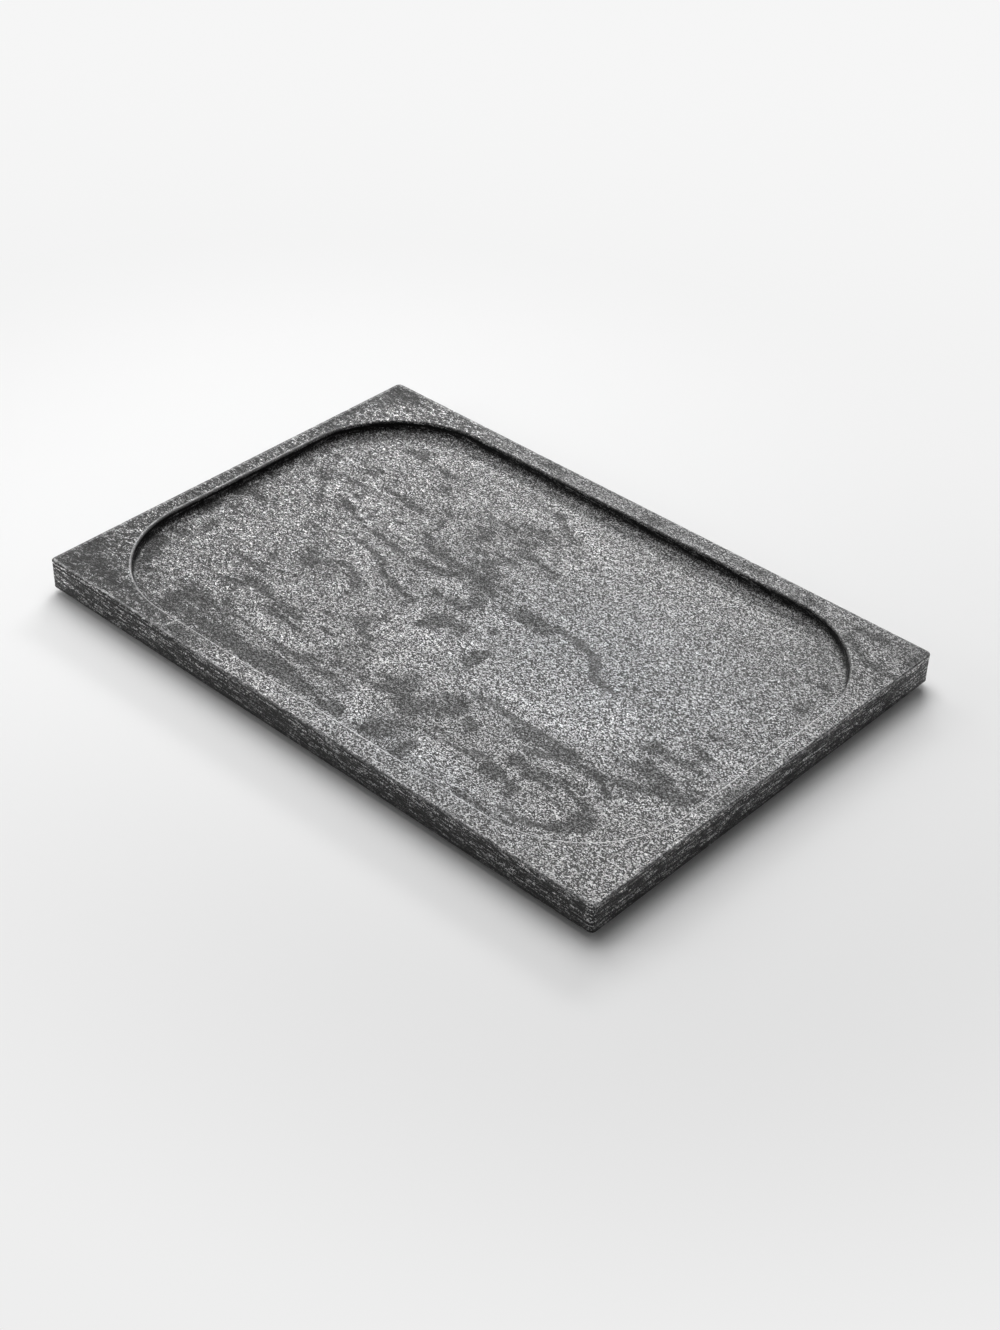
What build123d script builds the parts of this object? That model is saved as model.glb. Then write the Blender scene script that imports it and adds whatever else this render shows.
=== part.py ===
from build123d import *
import os

# Tea tray cut from one slab of layered stone, standing on four rubber feet.
# Millimetres. +X runs along the long side, +Y from the front long side to the back one, +Z up.
# The origin is on the table, under the middle of the tray.

# Stone slab
tray_length = 380.0
tray_width = 260.0
slab_thickness = 17.5
slab_corner_radius = 3.0
top_edge_radius = 0.8
underside_edge_radius = 1.5

# Recess that holds the pots and cups and catches the spilt water
end_border = 10.5
side_border = 12.3
recess_depth = 7.0
recess_corner_radius = 65.0
recess_edge_radius = 1.2
recess_cove_radius = 2.5

# Rubber feet, each stuck on with a disc of double-sided foam tape
foot_diameter = 16.0
foot_base_diameter = 14.0
foot_height = 2.5
foot_base_radius = 0.6
foot_end_margin = 2.0
foot_side_margin = 13.0
tape_thickness = 0.5
tape_edge_margin = 0.5

# How far a cutting solid stands past the face that it cuts
cut_overrun = 5.0

# Heights and sizes that follow from the values above
underside_height = foot_height + tape_thickness
top_height = underside_height + slab_thickness
recess_floor_height = top_height - recess_depth
recess_length = tray_length - 2 * end_border
recess_width = tray_width - 2 * side_border
tape_diameter = foot_diameter - 2 * tape_edge_margin
foot_x = tray_length / 2 - foot_end_margin - foot_diameter / 2
foot_y = tray_width / 2 - foot_side_margin - foot_diameter / 2

foot_places = {
    "front_left": (-foot_x, -foot_y),
    "front_right": (foot_x, -foot_y),
    "back_left": (-foot_x, foot_y),
    "back_right": (foot_x, foot_y),
}


def slab_blank():
    """The sawn slab with its four upright corners rounded and its underside edge eased."""
    outline = RectangleRounded(tray_length, tray_width, slab_corner_radius)
    blank = Pos(0, 0, underside_height) * extrude(outline, slab_thickness)
    underside = blank.faces().sort_by(Axis.Z)[0]
    return fillet(underside.edges(), underside_edge_radius)


def recess_cutter():
    """The milled space of the recess: round corners, upright walls and a cove round the floor."""
    outline = RectangleRounded(recess_length, recess_width, recess_corner_radius)
    cutter = Pos(0, 0, recess_floor_height) * extrude(outline, recess_depth + cut_overrun)
    floor = cutter.faces().sort_by(Axis.Z)[0]
    return fillet(floor.edges(), recess_cove_radius)


def tray_slab():
    """The stone slab with its recess, and both edges of the rim rounded over."""
    slab = slab_blank() - recess_cutter()
    rim = slab.faces().filter_by(Plane.XY).sort_by(Axis.Z)[-1]
    slab = fillet(rim.inner_wires()[0].edges(), recess_edge_radius)
    rim = slab.faces().filter_by(Plane.XY).sort_by(Axis.Z)[-1]
    return fillet(rim.outer_wire().edges(), top_edge_radius)


def foot(x, y):
    """One rubber foot: a low tapered disc with its lower edge rounded, wide side up."""
    centred_on_base = (Align.CENTER, Align.CENTER, Align.MIN)
    disc = Cone(foot_base_diameter / 2, foot_diameter / 2, foot_height, align=centred_on_base)
    lower_edge = disc.edges().filter_by(GeomType.CIRCLE).sort_by(Axis.Z)[0]
    return Pos(x, y, 0) * fillet(lower_edge, foot_base_radius)


def foot_tape(x, y):
    """The disc of foam tape between a foot and the stone."""
    centred_on_base = (Align.CENTER, Align.CENTER, Align.MIN)
    return Pos(x, y, foot_height) * Cylinder(tape_diameter / 2, tape_thickness, align=centred_on_base)


os.makedirs("parts", exist_ok=True)
export_step(tray_slab(), "parts/tray_slab.step")
for corner, (x, y) in foot_places.items():
    export_step(foot(x, y), f"parts/foot_{corner}.step")
    export_step(foot_tape(x, y), f"parts/foot_tape_{corner}.step")
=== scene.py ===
import math

import bmesh
import bpy
from mathutils import Matrix, Quaternion, Vector


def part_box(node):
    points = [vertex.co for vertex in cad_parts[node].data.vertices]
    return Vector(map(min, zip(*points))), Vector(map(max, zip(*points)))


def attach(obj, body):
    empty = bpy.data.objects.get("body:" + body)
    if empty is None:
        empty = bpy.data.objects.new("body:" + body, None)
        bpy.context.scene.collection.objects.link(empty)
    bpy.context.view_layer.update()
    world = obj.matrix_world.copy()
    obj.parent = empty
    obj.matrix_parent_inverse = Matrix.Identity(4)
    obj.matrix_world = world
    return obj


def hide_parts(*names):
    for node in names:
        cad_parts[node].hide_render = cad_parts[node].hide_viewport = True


# A gongfu tea tray cut from one slab of layered grey stone, standing on four stick-on rubber feet.
# Metres, in the frame of the solids: +X along the long side, +Y from the front long side to the
# back one, +Z up, with the table at Z = 0.

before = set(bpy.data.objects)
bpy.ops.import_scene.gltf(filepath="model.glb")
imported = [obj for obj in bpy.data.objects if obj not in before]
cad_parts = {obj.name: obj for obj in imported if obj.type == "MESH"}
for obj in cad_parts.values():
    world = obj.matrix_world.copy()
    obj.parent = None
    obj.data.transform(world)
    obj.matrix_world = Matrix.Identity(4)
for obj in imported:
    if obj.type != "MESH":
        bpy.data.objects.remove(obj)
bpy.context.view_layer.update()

mm = 0.001
tiny = 0.01 * mm

# Slab, measured from its solid
slab_low, slab_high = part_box("tray_slab")
slab_length = slab_high.x - slab_low.x
slab_width = slab_high.y - slab_low.y
slab_thickness = slab_high.z - slab_low.z
top_height = slab_high.z
underside_height = slab_low.z
slab_corner_radius = 3 * mm
top_arris_radius = 0.8 * mm
underside_arris_radius = 1.5 * mm

# Recess
end_border = 10.5 * mm
side_border = 12.3 * mm
recess_depth = 7 * mm
recess_corner_radius = 65 * mm
recess_arris_radius = 1.2 * mm
recess_cove_radius = 2.5 * mm
recess_length = slab_length - 2 * end_border
recess_width = slab_width - 2 * side_border
floor_height = top_height - recess_depth

# How finely the outlines are divided: the same number of columns runs round both of them
recess_corner_columns = 144
slab_corner_columns = 8
long_stretch_columns = (16, 16)
short_stretch_columns = (16, 7)
corner_stretch_columns = (17, 4)
long_stretch_half = recess_length / 2 - recess_corner_radius
short_stretch_half = recess_width / 2 - recess_corner_radius
rim_cuts = 5
side_cuts = 17
wall_cuts = 3
arris_columns = 4
cove_columns = 5
flat_border = 1.2 * mm
shortest_straight_edge = 20 * mm
shortest_upright_edge = 2 * mm
slab_smooth_angle = 40

# Wear of the slab: uneven layers on its sides and small chips along its outer edges
layer_depth = 0.35 * mm
layer_size = (50 * mm, 50 * mm, 1.6 * mm)
layer_margin = 0.6 * mm
chip_depth = 0.3 * mm
chip_size = (7 * mm, 7 * mm, 4 * mm)
chip_range = (0.22, 0.36)
chip_reach = 2.2 * mm
# How far past the cove the painted shade on the recess's wall reaches
painted_recess_shade_margin = 0.5 * mm

# Rubber feet and the foam tape over them
corners = ("front_left", "front_right", "back_left", "back_right")
foot_base_share = 14 / 16
foot_edge_radius = 0.6 * mm
foot_edge_columns = 4
foot_top_edge_radius = 0.2 * mm
foot_top_edge_columns = 2
foot_side_cuts = 3
foot_ring_width = 2.2 * mm
foot_dish_depth = 0.5 * mm
foot_dish_slope = 0.6 * mm
tape_bulge = 0.25 * mm
tape_side_cuts = 3
round_columns = 72
round_smooth_angle = 35


# Modelling helpers
def pick(kind, wanted):
    """In edit mode, selects the vertices, edges or faces that wanted says yes to, and nothing else."""
    bpy.ops.mesh.select_mode(type=kind)
    bpy.ops.mesh.select_all(action="DESELECT")
    mesh = bpy.context.edit_object.data
    shape = bmesh.from_edit_mesh(mesh)
    parts = {"VERT": shape.verts, "EDGE": shape.edges, "FACE": shape.faces}[kind]
    for part in parts:
        if wanted(part):
            part.select_set(True)
    bmesh.update_edit_mesh(mesh)


def name_piece(name):
    """Names the primitive that was just added, puts its place into its mesh and opens it for editing."""
    piece = bpy.context.object
    bpy.ops.object.transform_apply(location=True, rotation=True, scale=True)
    piece.name = name
    piece.data.name = name
    bpy.ops.object.mode_set(mode="EDIT")
    return piece


def finish_shape(smooth_angle):
    """Turns every face outwards, leaves edit mode and shades the gentle edges smooth."""
    bpy.ops.mesh.select_all(action="SELECT")
    bpy.ops.mesh.remove_doubles(threshold=tiny)
    bpy.ops.mesh.normals_make_consistent(inside=False)
    bpy.ops.object.mode_set(mode="OBJECT")
    bpy.ops.object.shade_smooth_by_angle(angle=math.radians(smooth_angle))


def ease(radius, columns):
    """Rounds the selected edges."""
    bpy.ops.mesh.bevel(offset=radius, segments=columns, profile=0.5, affect="EDGES", clamp_overlap=False)


def drop(edge):
    """How far an edge reaches up or down."""
    return abs(edge.verts[0].co.z - edge.verts[1].co.z)


def at_height(edge, height):
    return all(abs(v.co.z - height) < tiny for v in edge.verts)


# Stone slab
def from_outline(point, length, width, corner_radius):
    """How far a point lies outside a round-cornered rectangle, seen from above. Inside is below 0."""
    across = abs(point.x) - (length / 2 - corner_radius)
    along = abs(point.y) - (width / 2 - corner_radius)
    past_corner = math.hypot(max(across, 0), max(along, 0))
    return past_corner + min(max(across, along), 0) - corner_radius


def from_slab_outline(point):
    return from_outline(point, slab_length, slab_width, slab_corner_radius)


def from_recess_outline(point):
    return from_outline(point, recess_length, recess_width, recess_corner_radius)


def on_outline(edge, from_line):
    return all(abs(from_line(v.co)) < 2 * tiny for v in edge.verts)


def is_long(edge):
    return edge.calc_length() > shortest_straight_edge


def divide(columns):
    """Divides the selected edges into columns[0] times columns[1] equal parts."""
    for parts in columns:
        bpy.ops.mesh.subdivide(number_cuts=parts - 1)


def add_rounded_outline(length, width, corner_radius, corner_columns):
    """Adds a rectangle at the height of the slab's top and rounds its four corners."""
    centre = (0, 0, top_height)
    bpy.ops.mesh.primitive_plane_add(size=1, location=centre)
    bpy.ops.transform.resize(value=(length, width, 1), center_override=centre)
    bpy.ops.mesh.bevel(offset=corner_radius, segments=corner_columns, profile=0.5, affect="VERTICES")
    bpy.ops.mesh.delete(type="ONLY_FACE")


def slab_outline_loop():
    """The outline of the slab, with a point wherever a round corner of the recess begins or ends."""
    add_rounded_outline(slab_length, slab_width, slab_corner_radius, slab_corner_columns)
    long_marks = [(long_stretch_half * side, 0) for side in (-1, 1)]
    short_marks = [(0, short_stretch_half * side) for side in (-1, 1)]
    for x, y in long_marks + short_marks:
        bpy.ops.mesh.select_all(action="SELECT")
        bpy.ops.mesh.bisect(plane_co=(x, y, top_height), plane_no=(x, y, 0))
    pick("EDGE", lambda e: is_long(e) and max(abs(v.co.x) for v in e.verts) < long_stretch_half + tiny)
    divide(long_stretch_columns)
    pick("EDGE", lambda e: is_long(e) and max(abs(v.co.y) for v in e.verts) < short_stretch_half + tiny)
    divide(short_stretch_columns)
    pick("EDGE", is_long)
    divide(corner_stretch_columns)
    bpy.ops.mesh.select_all(action="SELECT")
    bpy.ops.mesh.hide()


def recess_outline_loop():
    """The outline of the recess, with as many points as that of the slab."""
    add_rounded_outline(recess_length, recess_width, recess_corner_radius, recess_corner_columns)
    pick("EDGE", lambda e: is_long(e) and abs(e.verts[0].co.y - e.verts[1].co.y) < tiny)
    divide(long_stretch_columns)
    pick("EDGE", is_long)
    divide(short_stretch_columns)


def drop_outline(from_line, depth, arris_radius, foot_radius):
    """Extrudes one border of the rim downwards, closes it with a face and eases both of its edges."""
    pick(
        "EDGE",
        lambda e: len(e.link_faces) == 1 and on_outline(e, from_line) and at_height(e, top_height),
    )
    bpy.ops.mesh.extrude_region_move(TRANSFORM_OT_translate={"value": (0, 0, -depth)})
    bpy.ops.mesh.edge_face_add()
    pick("EDGE", lambda e: on_outline(e, from_line) and at_height(e, top_height - depth))
    ease(foot_radius, cove_columns)
    pick("EDGE", lambda e: on_outline(e, from_line) and at_height(e, top_height))
    ease(arris_radius, arris_columns)


def divide_wall(from_line, cuts):
    """Divides the upright faces under one border of the rim into rows."""
    pick("EDGE", lambda e: drop(e) > shortest_upright_edge and on_outline(e, from_line))
    bpy.ops.mesh.subdivide(number_cuts=cuts)


def weigh(piece, name, weight_of):
    """Gives the points of a piece a weight from 0 to 1 in a vertex group of that name."""
    group = piece.vertex_groups.new(name=name)
    for vertex in piece.data.vertices:
        weight = weight_of(vertex.co)
        if weight > 0:
            group.add([vertex.index], min(weight, 1), "REPLACE")


def wear(piece, group, depth, texture, texture_size):
    """Pushes a group of points inwards by up to depth, after a texture whose blobs have that size."""
    holder = bpy.data.objects.new(group, None)
    bpy.context.scene.collection.objects.link(holder)
    holder.scale = texture_size
    modifier = piece.modifiers.new(group, "DISPLACE")
    modifier.vertex_group = group
    modifier.strength = depth
    modifier.mid_level = 1
    modifier.texture = texture
    modifier.texture_coords = "OBJECT"
    modifier.texture_coords_object = holder
    bpy.context.view_layer.update()
    bpy.ops.object.modifier_apply(modifier=group)
    bpy.data.objects.remove(holder)


def soft_noise(name, detail, low=None, high=None):
    """A cloud texture. Between low and high it is spread to the full range, which leaves sparse dips."""
    texture = bpy.data.textures.new(name, type="CLOUDS")
    texture.noise_scale = 1
    texture.noise_depth = detail
    if high:
        texture.use_color_ramp = True
        ramp = texture.color_ramp
        ramp.elements[0].position = low
        ramp.elements[0].color = (0, 0, 0, 1)
        ramp.elements[1].position = high
        ramp.elements[1].color = (1, 1, 1, 1)
    return texture


def near(distance, reach):
    """1 at no distance, falling smoothly to 0 at reach."""
    share = max(0, 1 - distance / reach)
    return share * share * (3 - 2 * share)


def side_weight(point):
    """1 on the upright sides of the slab, 0 on its rounded edges and elsewhere."""
    on_side = abs(from_slab_outline(point)) < 2 * tiny
    room = min(top_height - point.z, point.z - underside_height) - layer_margin
    return min(1, room / mm) if on_side and room > 0 else 0


def top_arris_distance(point):
    """How far a point lies from the middle of the slab's rounded top edge."""
    inset = top_arris_radius / 3
    return math.hypot(from_slab_outline(point) + inset, top_height - inset - point.z)


def underside_arris_distance(point):
    return math.hypot(from_slab_outline(point), point.z - underside_height)


def arris_weight(point):
    """1 on the outer edges of the slab, falling to 0 at the reach of the chips."""
    return near(min(top_arris_distance(point), underside_arris_distance(point)), chip_reach)


def painted_recess_shade_weight(point):
    """Painted shade: 1 on the wall and the cove of the recess, 0 on its floor and on the rim."""
    inside = abs(from_recess_outline(point))
    below = top_height - point.z - recess_arris_radius
    return near(inside, recess_cove_radius + painted_recess_shade_margin) * min(1, max(0, below / mm))


def paint(piece, name, value_of):
    """Gives each point of a piece a value of that name, for its finish."""
    layer = piece.data.attributes.new(name, "FLOAT", "POINT")
    for vertex in piece.data.vertices:
        layer.data[vertex.index].value = value_of(vertex.co)


def stone_slab():
    """The slab: two outlines bridged by the rim, each dropped down and closed, with every edge eased."""
    bpy.ops.object.select_all(action="DESELECT")
    bpy.ops.mesh.primitive_plane_add(size=1, location=(0, 0, 0))
    slab = name_piece("stone_slab")
    bpy.ops.mesh.delete(type="VERT")
    slab_outline_loop()
    recess_outline_loop()
    bpy.ops.mesh.reveal()
    bpy.ops.mesh.select_mode(type="EDGE")
    bpy.ops.mesh.select_all(action="SELECT")
    bpy.ops.mesh.bridge_edge_loops(number_cuts=rim_cuts, interpolation="LINEAR")
    drop_outline(from_slab_outline, slab_thickness, top_arris_radius, underside_arris_radius)
    drop_outline(from_recess_outline, recess_depth, recess_arris_radius, recess_cove_radius)
    divide_wall(from_slab_outline, side_cuts)
    divide_wall(from_recess_outline, wall_cuts)
    # The floor of the recess and the underside get a narrow border and are split from their middle
    pick("FACE", lambda f: len(f.verts) > recess_corner_columns)
    bpy.ops.mesh.inset(thickness=flat_border, use_individual=True)
    bpy.ops.mesh.poke()
    finish_shape(slab_smooth_angle)
    weigh(slab, "layered_sides", side_weight)
    weigh(slab, "chipped_arrises", arris_weight)
    wear(slab, "layered_sides", layer_depth, soft_noise("layers", 3), layer_size)
    wear(slab, "chipped_arrises", chip_depth, soft_noise("chips", 2, *chip_range), chip_size)
    # Painted shade on the wall and the cove of the recess, which the finish reads
    paint(slab, "painted_recess_shade", painted_recess_shade_weight)
    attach(slab, "root")
    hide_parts("tray_slab")
    return slab


# Feet
def faces_down(face):
    return face.normal.z < -0.9


def rubber_foot():
    """The first rubber foot: a tapered disc with its edges rounded and a shallow dish in its base."""
    low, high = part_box("foot_" + corners[0])
    middle = (low + high) / 2
    bpy.ops.object.select_all(action="DESELECT")
    bpy.ops.mesh.primitive_cylinder_add(
        vertices=round_columns, radius=(high.x - low.x) / 2, depth=high.z - low.z, location=middle
    )
    foot = name_piece("rubber_foot_" + corners[0])
    pick("FACE", faces_down)
    bpy.ops.transform.resize(
        value=(foot_base_share, foot_base_share, 1), center_override=(middle.x, middle.y, low.z)
    )
    pick("EDGE", lambda e: at_height(e, low.z))
    ease(foot_edge_radius, foot_edge_columns)
    pick("EDGE", lambda e: at_height(e, high.z))
    ease(foot_top_edge_radius, foot_top_edge_columns)
    pick("EDGE", lambda e: drop(e) > mm)
    bpy.ops.mesh.subdivide(number_cuts=foot_side_cuts)
    pick("FACE", lambda f: faces_down(f) and len(f.verts) == round_columns)
    bpy.ops.mesh.inset(thickness=foot_ring_width)
    bpy.ops.mesh.inset(thickness=foot_dish_slope)
    bpy.ops.transform.translate(value=(0, 0, foot_dish_depth))
    finish_shape(round_smooth_angle)
    return foot


def foam_tape():
    """The disc of foam tape over the first foot, pressed so that its edge swells."""
    low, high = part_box("foot_tape_" + corners[0])
    middle = (low + high) / 2
    thickness = high.z - low.z
    radius = (high.x - low.x) / 2 - tape_bulge
    bpy.ops.object.select_all(action="DESELECT")
    bpy.ops.mesh.primitive_cylinder_add(
        vertices=round_columns, radius=radius, depth=thickness, location=middle
    )
    tape = name_piece("foam_tape_" + corners[0])
    pick("EDGE", lambda e: drop(e) > thickness / 2)
    bpy.ops.mesh.subdivide(number_cuts=tape_side_cuts)
    for rows_from_middle, swell in ((0, 1.0), (1, 0.75)):
        height = rows_from_middle * thickness / (tape_side_cuts + 1)
        share = 1 + swell * tape_bulge / radius
        pick("VERT", lambda v: abs(abs(v.co.z - middle.z) - height) < tiny)
        bpy.ops.transform.resize(value=(share, share, 1), center_override=middle)
    finish_shape(round_smooth_angle)
    return tape


def copied(piece, name, node, corner):
    """A copy of the first corner's piece at another corner, with its own mesh in its node's place."""
    copy = piece.copy()
    copy.data = piece.data.copy()
    copy.name = name + corner
    copy.data.name = name + corner
    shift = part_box(node + corner)[0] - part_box(node + corners[0])[0]
    copy.data.transform(Matrix.Translation(shift))
    bpy.context.scene.collection.objects.link(copy)
    return copy


# Finishes
class Finish:
    """One procedural material. Its methods add a node each and give back that node's output."""

    def __init__(self, name, roughness):
        self.material = bpy.data.materials.new(name)
        self.material.use_nodes = True
        tree = self.material.node_tree
        self.nodes = tree.nodes
        self.links = tree.links
        self.shader = self.nodes["Principled BSDF"]
        self.shader.inputs["Roughness"].default_value = roughness
        self.place = self.nodes.new("ShaderNodeTexCoord").outputs["Object"]

    def wire(self, value, socket):
        """Links an output to a socket, or writes a plain value in it."""
        if isinstance(value, bpy.types.NodeSocket):
            self.links.new(value, socket)
        else:
            socket.default_value = value

    def maths(self, operation, *values):
        node = self.nodes.new("ShaderNodeMath")
        node.operation = operation
        for value, socket in zip(values, node.inputs):
            self.wire(value, socket)
        return node.outputs[0]

    def times(self, product, *others):
        """Multiplies values, one after the other."""
        for other in others:
            product = self.maths("MULTIPLY", product, other)
        return product

    def vector(self, operation, *values):
        node = self.nodes.new("ShaderNodeVectorMath")
        node.operation = operation
        for value, socket in zip(values, node.inputs):
            self.wire(value, socket)
        return node.outputs["Value" if operation in ("LENGTH", "DOT_PRODUCT") else "Vector"]

    def parts(self, vector):
        node = self.nodes.new("ShaderNodeSeparateXYZ")
        self.wire(vector, node.inputs[0])
        return node.outputs

    def joined(self, x, y, z):
        node = self.nodes.new("ShaderNodeCombineXYZ")
        for value, socket in zip((x, y, z), node.inputs):
            self.wire(value, socket)
        return node.outputs[0]

    def noise(self, where, size, detail=2.0, roughness=0.5, output="Fac"):
        """Noise with blobs of that size along X, Y and Z."""
        node = self.nodes.new("ShaderNodeTexNoise")
        self.wire(self.vector("DIVIDE", where, size), node.inputs["Vector"])
        node.inputs["Scale"].default_value = 1
        node.inputs["Detail"].default_value = detail
        node.inputs["Roughness"].default_value = roughness
        return node.outputs[output]

    def push(self, where, size, detail, roughness, reach):
        """A shift that follows noise, by up to half of reach each way."""
        shift = self.noise(where, size, detail, roughness, "Color")
        return self.vector("MULTIPLY_ADD", shift, reach, [-part / 2 for part in reach])

    def cells(self, where, size, output="Color"):
        """Grains of that size along X, Y and Z, each with its own random colour."""
        node = self.nodes.new("ShaderNodeTexVoronoi")
        self.wire(self.vector("DIVIDE", where, size), node.inputs["Vector"])
        node.inputs["Scale"].default_value = 1
        return node.outputs[output]

    def spread(self, value, low, high, to_low=0.0, to_high=1.0, soft=True):
        """Maps low..high to to_low..to_high, and keeps within it."""
        node = self.nodes.new("ShaderNodeMapRange")
        node.interpolation_type = "SMOOTHSTEP" if soft else "LINEAR"
        for amount, socket in zip((value, low, high, to_low, to_high), node.inputs):
            self.wire(amount, socket)
        return node.outputs[0]

    def grade(self, share, first, second):
        """Goes evenly from the first value at share 0 to the second at share 1, and not past them."""
        return self.spread(share, 0, 1, first, second, soft=False)

    def blend(self, share, first, second):
        """A value between two others: the first at share 0, the second at share 1."""
        node = self.nodes.new("ShaderNodeMix")
        self.wire(share, node.inputs[0])
        self.wire(first, node.inputs[2])
        self.wire(second, node.inputs[3])
        return node.outputs[0]

    def mixed(self, share, first, second):
        """A colour between two others: the first at share 0, the second at share 1."""
        node = self.nodes.new("ShaderNodeMix")
        node.data_type = "RGBA"
        self.wire(share, node.inputs[0])
        self.wire(first, node.inputs[6])
        self.wire(second, node.inputs[7])
        return node.outputs[2]

    def painted(self, name):
        """A value that the points of the mesh carry."""
        node = self.nodes.new("ShaderNodeAttribute")
        node.attribute_name = name
        return node.outputs["Fac"]

    def spot(self, where, place, size, turn):
        """1 in the middle of an ellipse, falling to 0 at its edge. It goes straight through the slab."""
        mapping = self.nodes.new("ShaderNodeMapping")
        mapping.vector_type = "TEXTURE"
        self.wire(where, mapping.inputs["Vector"])
        mapping.inputs["Location"].default_value = (place[0] * mm, place[1] * mm, 0)
        mapping.inputs["Rotation"].default_value = (0, 0, math.radians(turn))
        mapping.inputs["Scale"].default_value = (size[0] * mm / 2, size[1] * mm / 2, 1)
        ball = self.nodes.new("ShaderNodeTexGradient")
        ball.gradient_type = "SPHERICAL"
        self.wire(mapping.outputs[0], ball.inputs[0])
        return ball.outputs["Fac"]

    def spots(self, where, marks, spread_out=1.0, start=0.0):
        """Adds up spots: place and size in millimetres, turn in degrees, strength."""
        total = start
        for place, (length, width), turn, strength in marks:
            spot = self.spot(where, place, (length * spread_out, width * spread_out), turn)
            total = self.maths("MULTIPLY_ADD", spot, strength, total)
        return total

    def past_outline(self, where, length, width, corner_radius):
        """How far a place lies outside a rectangle with round corners, seen from above."""
        x, y, z = self.parts(self.vector("ABSOLUTE", where))
        across = self.maths("SUBTRACT", x, length / 2 - corner_radius)
        along = self.maths("SUBTRACT", y, width / 2 - corner_radius)
        past_corner = self.joined(self.maths("MAXIMUM", across, 0), self.maths("MAXIMUM", along, 0), 0)
        inside = self.maths("MINIMUM", self.maths("MAXIMUM", across, along), 0)
        outside = self.maths("ADD", self.vector("LENGTH", past_corner), inside)
        return self.maths("SUBTRACT", outside, corner_radius)

    def band(self, value, middle, half_width, soft_width):
        """1 where a value is within half_width of the middle, falling to 0 over soft_width."""
        distance = self.maths("ABSOLUTE", self.maths("SUBTRACT", value, middle))
        return self.spread(distance, half_width, half_width + soft_width, 1.0, 0.0)

    def relief(self, height, distance):
        """Bump of the surface: height 0..1 stands for that distance."""
        bump = self.nodes.new("ShaderNodeBump")
        bump.inputs["Strength"].default_value = 1
        bump.inputs["Distance"].default_value = distance
        self.wire(height, bump.inputs["Height"])
        self.wire(bump.outputs[0], self.shader.inputs["Normal"])


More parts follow.
